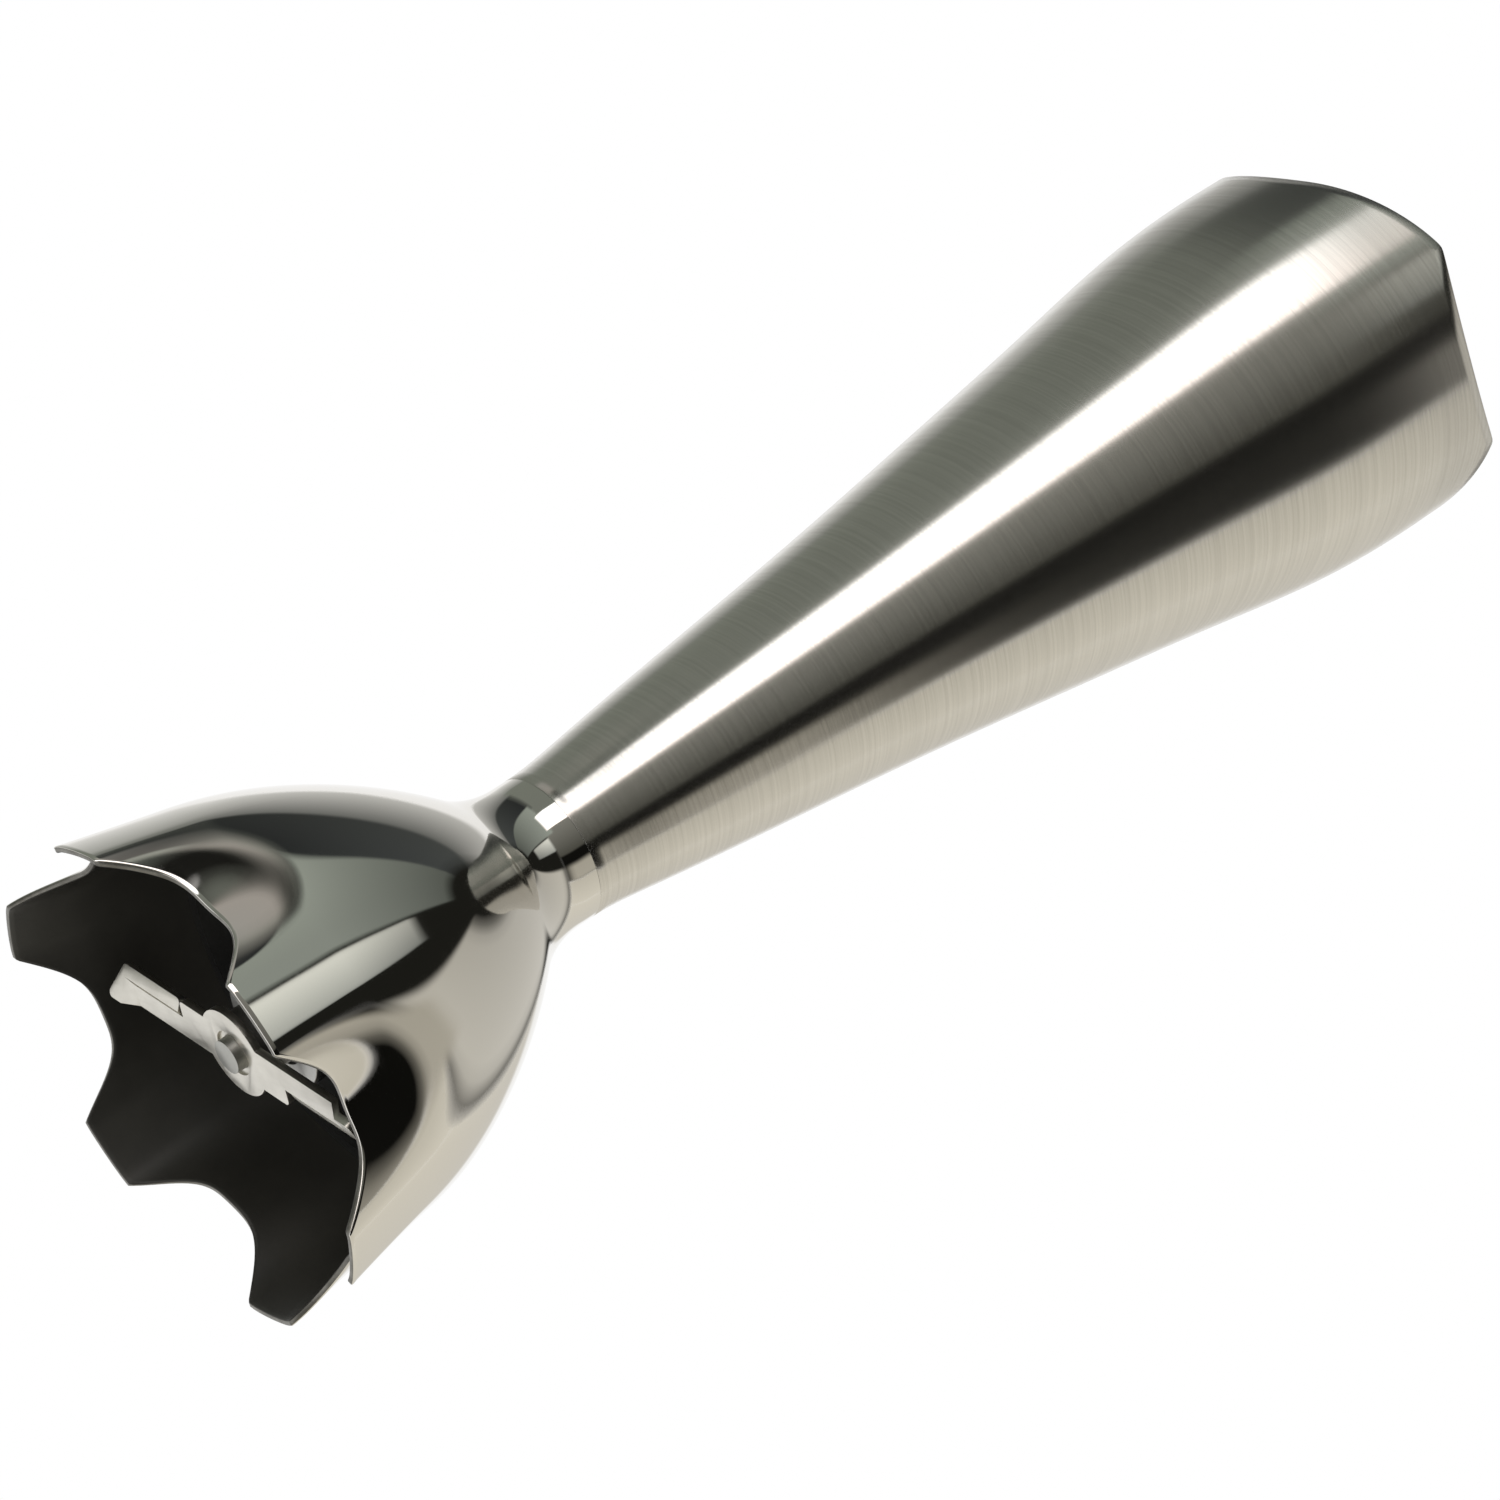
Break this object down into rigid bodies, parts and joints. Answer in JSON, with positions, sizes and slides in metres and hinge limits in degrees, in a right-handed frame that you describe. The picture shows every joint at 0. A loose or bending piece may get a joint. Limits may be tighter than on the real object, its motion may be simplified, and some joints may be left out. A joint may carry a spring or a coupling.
{
  "type": "immersion blender wand",
  "caption": "Detachable blending wand of an immersion blender: flared steel tube with a wavy open rim, polished bell with a toothed skirt, and a pitched blade on a turning drive shaft.",
  "frame": {"origin": "on the wand's axis, in the plane of the tooth ends it stands on", "axes": "+Z along the axis from the teeth to the coupling end; -Y to the dip of the rim that the picture shows in front, the deeper dips at +X and -X"},
  "size_m": [0.0646, 0.0598, 0.2019],
  "materials": {
    "brushed_steel": "fine circumferential brushing",
    "polished_steel": "mirror polished stainless steel",
    "blade_steel": "stamped and ground stainless steel",
    "shaft_steel": "ground steel",
    "stamped_steel": "stamped steel",
    "black_plastic": "matt moulded black plastic",
    "coupling_plastic": "moulded natural nylon",
    "bush_bronze": "sintered bronze",
    "seal_rubber": "moulded black rubber"
  },
  "bodies": {
    "wand": {"shaft_tube": "brushed_steel", "bell_guard": "polished_steel", "bell_liner": "black_plastic", "liner_ring": "seal_rubber", "bearing_sleeve": "stamped_steel", "seal_cap": "stamped_steel", "shaft_seal": "seal_rubber", "lower_bush": "bush_bronze", "lower_washer": "stamped_steel", "inner_tube": "black_plastic", "shaft_guide": "black_plastic", "coupling_socket": "black_plastic", "upper_bush": "bush_bronze", "upper_washer": "stamped_steel", "socket_gasket": "seal_rubber"},
    "rotor": {"drive_shaft": "shaft_steel", "blade": "blade_steel", "blade_spacer": "stamped_steel", "lower_circlip": "stamped_steel", "spring_washer": "stamped_steel", "drive_coupling": "coupling_plastic", "coupling_pin": "shaft_steel"}
  },
  "joints": [
    {"name": "shaft_spin", "type": "hinge", "parent": "wand", "child": "rotor", "pos_m": [0, 0, 0.1], "axis": [0, 0, 1], "continuous": true}
  ]
}
